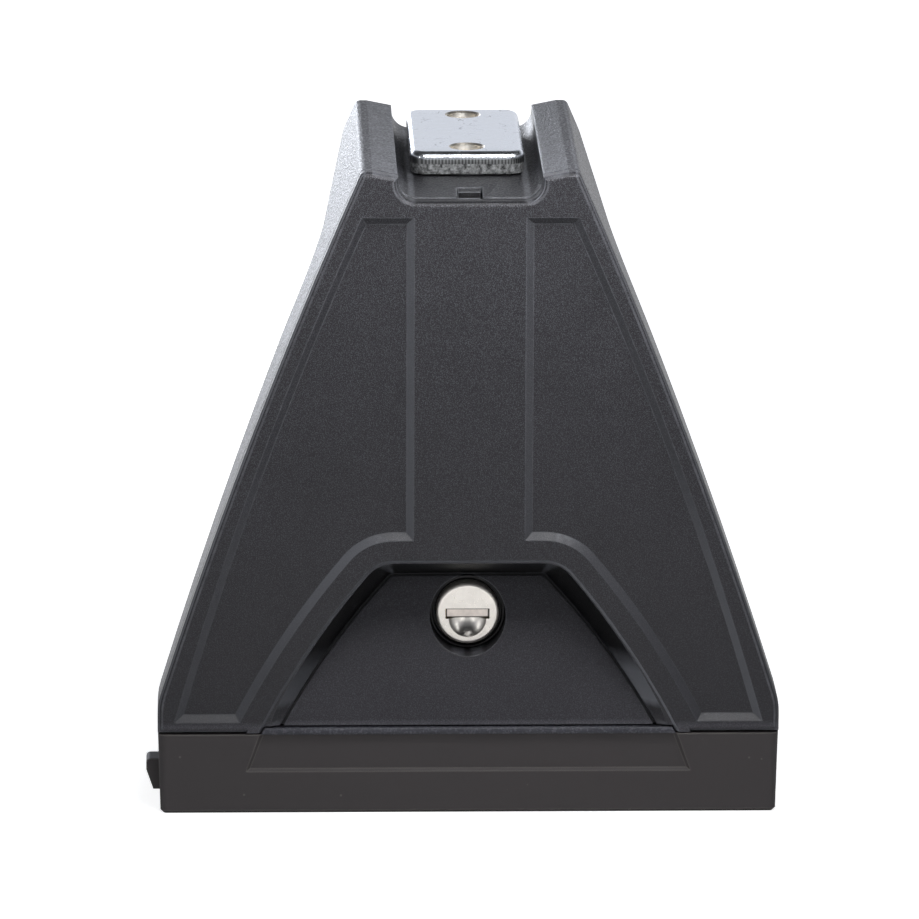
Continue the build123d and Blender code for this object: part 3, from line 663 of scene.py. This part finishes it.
def lower_ring(bm, edges, drop, shrink, centre, material_index):
    """Extrudes a ring of edges downwards, draws it in towards a centre and gives the new wall its material."""
    grown = bmesh.ops.extrude_edge_only(bm, edges=edges)["geom"]
    verts = [v for v in grown if isinstance(v, bmesh.types.BMVert)]
    bmesh.ops.translate(bm, vec=(0, 0, -drop), verts=verts)
    bmesh.ops.scale(bm, vec=(*shrink, 1), verts=verts, space=Matrix.Translation((-centre[0], -centre[1], 0)))
    for face in (f for f in grown if isinstance(f, bmesh.types.BMFace)):
        face.material_index = material_index
    ring = [e for e in grown if isinstance(e, bmesh.types.BMEdge) and e.is_boundary]
    return [e for e in ring if abs(e.verts[0].co.z - e.verts[1].co.z) < TOUCH]


def punched_plate(sizes, middle, bolt_rows):
    """The plate's mesh, with its rolled top edge, its side bands and its holes."""
    top, low = PLATE_HIGH.z, PLATE_LOW.z
    wide, long = PLATE_HIGH.x - PLATE_LOW.x, PLATE_HIGH.y - PLATE_LOW.y
    bm = bmesh.new()
    bmesh.ops.create_grid(bm, x_segments=1, y_segments=1, size=0.5)
    bmesh.ops.scale(bm, vec=(wide, long, 1), verts=bm.verts[:])
    bmesh.ops.translate(bm, vec=(middle.x, middle.y, top - sizes.roll), verts=bm.verts[:])
    bmesh.ops.bevel(
        bm,
        geom=bm.verts[:],
        offset=sizes.corner,
        segments=CORNER_STEPS,
        profile=0.5,
        affect="VERTICES",
        material=-1,
    )
    bmesh.ops.subdivide_edges(
        bm,
        edges=[e for e in bm.edges if e.calc_length() > LONG_EDGE],
        cuts=LONG_EDGE_CUTS,
        use_grid_fill=False,
    )
    # Rolled top edge, in small steps of a quarter round
    crown = bm.faces[:]
    for step in range(ROLL_STEPS):
        here, there = (math.radians(90 * s / ROLL_STEPS) for s in (step, step + 1))
        bmesh.ops.inset_region(
            bm,
            faces=crown,
            thickness=sizes.roll * (math.cos(here) - math.cos(there)),
            depth=sizes.roll * (math.sin(there) - math.sin(here)),
            use_boundary=True,
            use_even_offset=True,
        )
    rim = [e for e in bm.edges if len([f for f in e.link_faces if f in crown]) == 1]
    # Side bands, smooth above and broken below
    sole = [e for e in bm.edges if e.is_boundary]
    bands = [(sizes.shear, 0, SHEARED), (top - sizes.roll - sizes.shear - low, sizes.taper, BROKEN)]
    for drop, draw_in, band in bands:
        shrink = (1 - 2 * draw_in / wide, 1 - 2 * draw_in / long)
        sole = lower_ring(bm, sole, drop, shrink, middle, band)
    bmesh.ops.delete(bm, geom=crown, context="FACES_ONLY")
    # Holes, each a bevelled mouth and a wall
    mouths, feet = [], []
    mouth_radius = HOLE_RADIUS + HOLE_BEVEL
    for y in bolt_rows:
        ring = bmesh.ops.create_circle(
            bm, segments=HOLE_STEPS, radius=mouth_radius, matrix=Matrix.Translation((middle.x, y, top))
        )["verts"]
        edges = edges_of(ring)
        mouths += edges
        for drop, shrink in ((HOLE_BEVEL, HOLE_RADIUS / mouth_radius), (top - low - HOLE_BEVEL, 1.0)):
            edges = lower_ring(bm, edges, drop, (shrink, shrink), (middle.x, y), TAPPED)
        feet += edges
    for rings in (rim + mouths, sole + feet):
        bmesh.ops.triangle_fill(bm, edges=rings, use_beauty=True, use_dissolve=False)
    return bm


def plate_threads(sizes, middle, bolt_rows):
    """One turn of thread above each bolt's end: a ridge spun up its helix."""
    bm = bmesh.new()
    for y in bolt_rows:
        ridge = [
            bm.verts.new((middle.x + HOLE_RADIUS - THREAD_DEPTH * reach, y, BOLTS_HIGH.z + sizes.pitch * rise))
            for reach, rise in THREAD_PROFILE
        ]
        start = bmesh.ops.contextual_create(bm, geom=ridge)["faces"]
        bmesh.ops.spin(
            bm,
            geom=ridge + edges_of(ridge) + start,
            cent=(middle.x, y, 0),
            axis=(0, 0, 1),
            dvec=(0, 0, sizes.pitch / HOLE_STEPS),
            angle=math.radians(360),
            steps=HOLE_STEPS,
            use_merge=False,
            use_normal_flip=False,
            use_duplicate=False,
        )
    bmesh.ops.holes_fill(bm, edges=[e for e in bm.edges if e.is_boundary], sides=4)
    return bm


class FOOT_OT_plate(bpy.types.Operator):
    """Make the punched bar plate with its rolled top edge, sheared band, broken band and threaded holes"""

    bl_idname = "foot.plate"
    bl_label = "Bar plate"

    def execute(self, context):
        colours, sizes = context.scene.foot_colours, context.scene.foot_sizes
        middle = (PLATE_LOW + PLATE_HIGH) / 2
        bolt_rows = (BOLTS_LOW.y + BOLT_INSET, BOLTS_HIGH.y - BOLT_INSET)
        # Zinc on rolled sheet is the brightest, and the bare cut thread is warmer and duller
        sheet = plated_steel("zinc_plated_sheet", colours.zinc, colours.nick, 0.24, 3.0)
        sheared = sheared_steel("sheared_steel_edge", colours.sheared, sizes.striation)
        broken = broken_steel("fractured_steel_edge", colours.fracture)
        tapped = plated_steel("tapped_steel_thread", colours.tapped, colours.nick, 0.42, 1.5)
        bm = punched_plate(sizes, middle, bolt_rows)
        plate = keep_piece(bm, "punched_plate", "bar_clamp", [sheet, sheared, broken, tapped])
        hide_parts("bar_plate")
        bm = plate_threads(sizes, middle, bolt_rows)
        keep_piece(bm, "plate_threads", "bar_clamp", [tapped])
        return {"FINISHED"}


class FOOT_OT_fasteners(bpy.types.Operator):
    """Finish the bolts, screw, washers, bushes, load plates, lock cam and sleeve clip"""

    bl_idname = "foot.fasteners"
    bl_label = "Fasteners"

    def execute(self, context):
        colours = context.scene.foot_colours
        pressings = ["bar_bolt_washers", "tongue_washer", "load_plates", "lock_tongue"]
        # Material, the nodes that it dresses, colour, roughness and patches in millimetres
        finishes = [
            # Bright zinc in small patches
            ("zinc_plated_bolts", ["bar_bolts", "tongue_screw"], colours.zinc, 0.34, 1.5),
            # The same zinc, duller and in broad patches on flat faces
            ("zinc_plated_pressings", pressings, colours.zinc, 0.38, 4.0),
            # Turned steel, a dull mid grey
            ("turned_steel_bushes", ["saddle_bushes", "base_bushes"], colours.bush, 0.42, 2.0),
            # Blued spring steel, darker than zinc and with a soft sheen
            ("blued_spring_steel", ["sleeve_clip"], colours.spring, 0.36, 2.5),
        ]
        for name, nodes, base, roughness, patch_size in finishes:
            dress(nodes, plated_steel(name, base, colours.nick, roughness, patch_size))
        return {"FINISHED"}


def nickel_casting(name, base, reflection_colour):
    """Die-cast zinc with satin nickel: warm and nearly white on its tumbled face, duller round its rim, with a
    painted dark reflection in a fan in its scoop."""
    material, tree, place = new_material(name)
    centre = (CORE_LOW + CORE_HIGH) / 2
    spot = add_node(tree, "ShaderNodeSeparateXYZ", {"Vector": place}).outputs
    from_axis = add_node(tree, "ShaderNodeVectorMath", {0: place, 1: (centre.x, 0, centre.z)}, operation="SUBTRACT")
    # The scoop is what lies below the face and inside its radius
    sunk = add_node(
        tree,
        "ShaderNodeMapRange",
        {"Value": spot["Y"], "From Min": SCOOP_DEPTHS[0], "From Max": SCOOP_DEPTHS[1]},
    )
    flat = add_node(tree, "ShaderNodeVectorMath", {0: from_axis, 1: (1, 0, 1)}, operation="MULTIPLY")
    radius = add_node(tree, "ShaderNodeVectorMath", {0: flat}, operation="LENGTH")
    inner = add_node(tree, "ShaderNodeMath", {0: radius, 1: SCOOP_RADIUS}, operation="LESS_THAN")
    scoop = add_node(tree, "ShaderNodeMath", {0: sunk, 1: inner}, operation="MULTIPLY")
    # Roughness of the tumbled face, whose marks are drawn coarser than they are so that they show, of the scoop, and
    # of the rim, which turns away from the front
    tumbled = add_node(tree, "ShaderNodeTexNoise", {"Vector": place, "Scale": per(0.3), "Detail": 3.0})
    satin = add_node(
        tree,
        "ShaderNodeMapRange",
        {"Value": tumbled, "From Min": 0.3, "From Max": 0.7, "To Min": 0.27, "To Max": 0.31},
    )
    turned = add_node(
        tree, "ShaderNodeMapRange", {"Value": surface_turn(tree)["Y"], "From Min": -0.985, "From Max": -0.8}
    )
    outer = add_node(tree, "ShaderNodeMath", {0: turned, 1: scoop}, operation="SUBTRACT", use_clamp=True)
    gloss = satin
    for mask, roughness in ((scoop, 0.28), (outer, 0.62)):
        gloss = add_node(
            tree, "ShaderNodeMix", {FACTOR: mask, NUMBER_A: gloss, NUMBER_B: roughness}, data_type="FLOAT"
        )
    # A painted reflection darkens the scoop in a fan below the slot's middle
    offset = add_node(tree, "ShaderNodeSeparateXYZ", {"Vector": from_axis}).outputs
    aside = add_node(tree, "ShaderNodeMath", {0: offset["X"]}, operation="ABSOLUTE")
    below = add_node(tree, "ShaderNodeMath", {0: FAN_TOP, 1: offset["Z"]}, operation="SUBTRACT")
    spread = add_node(tree, "ShaderNodeMath", {0: aside, 1: below}, operation="DIVIDE")
    fan = add_node(
        tree, "ShaderNodeMapRange", {"Value": spread, "From Min": 0.6, "From Max": 0.2, "To Max": 0.6}
    )
    painted_reflection = add_node(tree, "ShaderNodeMath", {0: fan, 1: scoop}, operation="MULTIPLY")
    stains = add_node(tree, "ShaderNodeTexNoise", {"Vector": place, "Scale": per(2.2), "Detail": 4.0})
    stained = mottled(tree, base, stains, (0.93, 1.03))
    used = add_node(
        tree, "ShaderNodeMix", {FACTOR: painted_reflection, COLOUR_A: stained, COLOUR_B: reflection_colour}, data_type="RGBA"
    )
    relief = add_node(tree, "ShaderNodeBump", {"Height": tumbled, "Strength": 0.04, "Distance": 0.004 * MM})
    shader = add_node(
        tree,
        "ShaderNodeBsdfPrincipled",
        {"Base Color": used, "Metallic": 1.0, "Roughness": gloss, "Normal": relief},
    )
    add_node(tree, "ShaderNodeOutputMaterial", {"Surface": shader})
    return material


def stainless_leaf(name, base, painted_shade_colour):
    """Stainless leaf behind the key slot: warm satin grey, with a painted shade along its edges."""
    material, tree, place = new_material(name)
    middle, half = (LEAF_LOW + LEAF_HIGH) / 2, (LEAF_HIGH - LEAF_LOW) / 2
    offset = add_node(tree, "ShaderNodeVectorMath", {0: place, 1: middle}, operation="SUBTRACT")
    reach = add_node(tree, "ShaderNodeVectorMath", {0: offset}, operation="ABSOLUTE")
    inside = add_node(tree, "ShaderNodeVectorMath", {0: half, 1: reach}, operation="SUBTRACT")
    margin = add_node(tree, "ShaderNodeSeparateXYZ", {"Vector": inside}).outputs
    nearest = add_node(tree, "ShaderNodeMath", {0: margin["X"], 1: margin["Z"]}, operation="MINIMUM")
    clear = add_node(
        tree, "ShaderNodeMapRange", {"Value": nearest, "From Min": LEAF_SHADE_MARGINS[0], "From Max": LEAF_SHADE_MARGINS[1]}
    )
    rubs = add_node(tree, "ShaderNodeTexNoise", {"Vector": place, "Scale": per(0.8), "Detail": 3.0})
    rubbed = mottled(tree, base, rubs, (0.86, 1.0))
    tinted = add_node(
        tree, "ShaderNodeMix", {FACTOR: clear, COLOUR_A: painted_shade_colour, COLOUR_B: rubbed}, data_type="RGBA"
    )
    shader = add_node(
        tree, "ShaderNodeBsdfPrincipled", {"Base Color": tinted, "Metallic": 1.0, "Roughness": 0.38}
    )
    add_node(tree, "ShaderNodeOutputMaterial", {"Surface": shader})
    return material


class FOOT_OT_lock(bpy.types.Operator):
    """Finish the lock's core, wafers, shutter and sleeve"""

    bl_idname = "foot.lock"
    bl_label = "Lock"

    def execute(self, context):
        colours, sizes = context.scene.foot_colours, context.scene.foot_sizes
        dress(["lock_core"], nickel_casting("satin_nickel_casting", colours.nickel, colours.scoop_reflection))
        # The leaf's edges take a painted shade in the sleeve's colour
        dress(["dust_shutter"], stainless_leaf("satin_stainless_leaf", colours.leaf, colours.acetal))
        # Brass straight from the press: warm yellow and fairly bright
        dress(["lock_wafers"], plated_steel("stamped_brass", colours.brass, colours.nick, 0.32, 1.5))
        # Moulded acetal: the nylon's grain, only fainter, on nearly black, with the nylon's painted highlights,
        # painted light and painted shade
        sleeve = nylon(
            "moulded_acetal",
            colours.acetal,
            grain_colour=colours.acetal_grain,
            wear_and_highlight_colour=colours.acetal_edge,
            grain_size=sizes.grain,
            edge=sizes.edge,
            contrast=0.3,
            height=0.03 * MM,
            wear_and_highlight=0.5,
        )
        dress(["lock_sleeve"], sleeve)
        return {"FINISHED"}


def white_surround(scene, stage):
    """White backdrop in a dim room, as in a studio: the camera sees it white all round, and metal mirrors a room
    that is dim beside the camera and dark overhead."""
    world = bpy.data.worlds.new("white_surround")
    scene.world = world
    world.use_nodes = True
    tree = world.node_tree
    tree.nodes.clear()
    rays, shown = shown_rays(tree)
    toward = add_node(tree, "ShaderNodeTexCoord").outputs["Generated"]
    heading = add_node(tree, "ShaderNodeSeparateXYZ", {"Vector": toward}).outputs
    ceiling = add_node(
        tree,
        "ShaderNodeMapRange",
        {"Value": heading["Z"], "From Min": 0.36, "From Max": 0.5, "To Min": 1.0, "To Max": stage.ceiling},
    )
    room = add_node(
        tree,
        "ShaderNodeMapRange",
        {"Value": heading["Y"], "From Min": 0.35, "From Max": 0.75, "To Min": stage.dim, "To Max": 1.0},
    )
    studio = add_node(tree, "ShaderNodeMath", {0: ceiling, 1: room}, operation="MULTIPLY")
    mirrored = add_node(
        tree,
        "ShaderNodeMix",
        {FACTOR: rays["Is Glossy Ray"], NUMBER_A: 1.0, NUMBER_B: studio},
        data_type="FLOAT",
    )
    strength = add_node(
        tree, "ShaderNodeMix", {FACTOR: shown, NUMBER_A: stage.surround, NUMBER_B: mirrored}, data_type="FLOAT"
    )
    tint = add_node(
        tree,
        "ShaderNodeMix",
        {FACTOR: rays["Is Camera Ray"], COLOUR_A: linear("#f3f6fd"), COLOUR_B: linear("#ffffff")},
        data_type="RGBA",
    )
    glow = add_node(tree, "ShaderNodeBackground", {"Color": tint, "Strength": strength})
    add_node(tree, "ShaderNodeOutputWorld", {"Surface": glow})


def white_floor(stage):
    """Matt pale floor: white to the camera, with the object's own shadow left in it. Metal mirrors it dim in front
    of the foot and white behind it."""
    material, tree, place = new_material("white_floor")
    rays, shown = shown_rays(tree)
    # Distances in metres from the foot's middle
    away = add_node(tree, "ShaderNodeVectorMath", {0: place}, operation="LENGTH")
    spot = add_node(tree, "ShaderNodeSeparateXYZ", {"Vector": place}).outputs
    direct = add_node(
        tree,
        "ShaderNodeMapRange",
        {"Value": away, "From Min": 0.1, "From Max": 0.3, "To Min": stage.lift, "To Max": 1.0},
    )
    ahead = add_node(
        tree,
        "ShaderNodeMapRange",
        {"Value": away, "From Min": 0.15, "From Max": 0.5, "To Min": 0.05, "To Max": 0.65},
    )
    behind = add_node(tree, "ShaderNodeMapRange", {"Value": spot["Y"], "From Min": 0.0, "From Max": 0.2})
    mirrored = add_node(tree, "ShaderNodeMath", {0: ahead, 1: behind}, operation="MAXIMUM")
    whiter = add_node(
        tree,
        "ShaderNodeMix",
        {FACTOR: rays["Is Glossy Ray"], NUMBER_A: direct, NUMBER_B: mirrored},
        data_type="FLOAT",
    )
    lift = add_node(tree, "ShaderNodeMath", {0: shown, 1: whiter}, operation="MULTIPLY")
    shader = add_node(
        tree,
        "ShaderNodeBsdfPrincipled",
        {
            "Base Color": linear("#e6e6e6"),
            "Roughness": 0.9,
            "Emission Color": linear("#ffffff"),
            "Emission Strength": lift,
        },
    )
    add_node(tree, "ShaderNodeOutputMaterial", {"Surface": shader})
    return material


class FOOT_OT_stage(bpy.types.Operator):
    """Set the floor, the light and the camera"""

    bl_idname = "foot.stage"
    bl_label = "Stage"

    def execute(self, context):
        scene, stage = context.scene, context.scene.foot_stage
        scene.view_settings.view_transform = "Standard"
        white_surround(scene, stage)
        # Floor, a hair below the pad
        bm = bmesh.new()
        bmesh.ops.create_grid(bm, x_segments=1, y_segments=1, size=FLOOR_REACH)
        bmesh.ops.translate(bm, vec=(0, 0, CAD_BOX[0].z - FLOOR_GAP), verts=bm.verts[:])
        mesh = bpy.data.meshes.new("floor")
        bm.to_mesh(mesh)
        bm.free()
        mesh.materials.append(white_floor(stage))
        floor = bpy.data.objects.new("floor", mesh)
        scene.collection.objects.link(floor)
        # Soft boxes: (name, colour, place, aim, width, height, watts)
        boxes = [
            ("top_box", "#ffffff", (0.03, -0.09, 0.215), (0, 0, 0.08), 0.14, 0.06, 0.31),
            ("left_strip", "#ffffff", (-0.6, -0.5, 0.3), (0, 0, 0.07), 0.06, 0.5, 0.4),
            ("right_strip", "#ffffff", (0.6, -0.5, 0.3), (0, 0, 0.07), 0.06, 0.5, 0.34),
            ("front_fill", "#ffffff", (0, -0.6, 0.32), (0, 0, 0.04), 0.4, 0.3, 0.4),
            ("back_box", "#eef3fc", (-0.4, 1.2, 0.2), (0, 0, 0.07), 0.4, 0.4, 4.2),
            ("lock_card", "#ffffff", (0, -0.17, 0.002), (0, -0.01, 0.036), 0.2, 0.08, 0.05),
        ]
        for name, tint, spot, target, width, high, watts in boxes:
            lamp = bpy.data.lights.new(name, "AREA")
            lamp.shape = "RECTANGLE"
            lamp.color = linear(tint)[:3]
            lamp.size, lamp.size_y, lamp.energy = width, high, watts
            light = bpy.data.objects.new(name, lamp)
            light.location = spot
            light.rotation_euler = (Vector(target) - Vector(spot)).to_track_quat("-Z", "Y").to_euler()
            light.visible_camera = False
            # The card is only there for the lock to mirror, and the fill only softens shadows
            light.visible_diffuse = name != "lock_card"
            light.visible_glossy = name != "front_fill"
            scene.collection.objects.link(light)
        # Camera at the photograph's angle
        data = bpy.data.cameras.new("camera")
        data.lens, data.sensor_width = stage.lens, SENSOR_MM
        data.clip_end = SIGHT
        camera = bpy.data.objects.new("camera", data)
        back = Vector(
            (
                math.sin(stage.azimuth) * math.cos(stage.elevation),
                -math.cos(stage.azimuth) * math.cos(stage.elevation),
                math.sin(stage.elevation),
            )
        )
        camera.location = Vector(stage.aim) + back * stage.distance
        level = (-back).to_track_quat("-Z", "Y")
        camera.rotation_euler = (level @ Quaternion((0, 0, 1), stage.roll)).to_euler()
        scene.collection.objects.link(camera)
        scene.camera = camera
        return {"FINISHED"}


STEPS = (FOOT_OT_nylon, FOOT_OT_pad, FOOT_OT_plate, FOOT_OT_fasteners, FOOT_OT_lock, FOOT_OT_stage)


class FOOT_PT_panel(bpy.types.Panel):
    """Buttons for each step, with the values that they use"""

    bl_idname = "FOOT_PT_panel"
    bl_label = "Roof bar foot"
    bl_space_type = "VIEW_3D"
    bl_region_type = "UI"
    bl_category = "Roof bar foot"

    def draw(self, context):
        for step in STEPS:
            self.layout.operator(step.bl_idname)
        for group in (context.scene.foot_colours, context.scene.foot_sizes, context.scene.foot_stage):
            for name in group.bl_rna.properties.keys():
                if name not in ("rna_type", "name"):
                    self.layout.prop(group, name)


CLASSES = (FootColours, FootSizes, FootStage, *STEPS, FOOT_PT_panel)
GROUPS = {"foot_colours": FootColours, "foot_sizes": FootSizes, "foot_stage": FootStage}


def register():
    """Registers the classes and puts their values on the scene."""
    for cls in CLASSES:
        bpy.utils.register_class(cls)
    for name, group in GROUPS.items():
        setattr(bpy.types.Scene, name, PointerProperty(type=group))


def unregister():
    """Takes the values off the scene and the classes out again."""
    for name in GROUPS:
        delattr(bpy.types.Scene, name)
    for cls in reversed(CLASSES):
        bpy.utils.unregister_class(cls)


def main():
    """Runs every step."""
    register()
    bpy.ops.foot.nylon()
    bpy.ops.foot.pad()
    bpy.ops.foot.plate()
    bpy.ops.foot.fasteners()
    bpy.ops.foot.lock()
    bpy.ops.foot.stage()


if __name__ == "__main__":
    main()
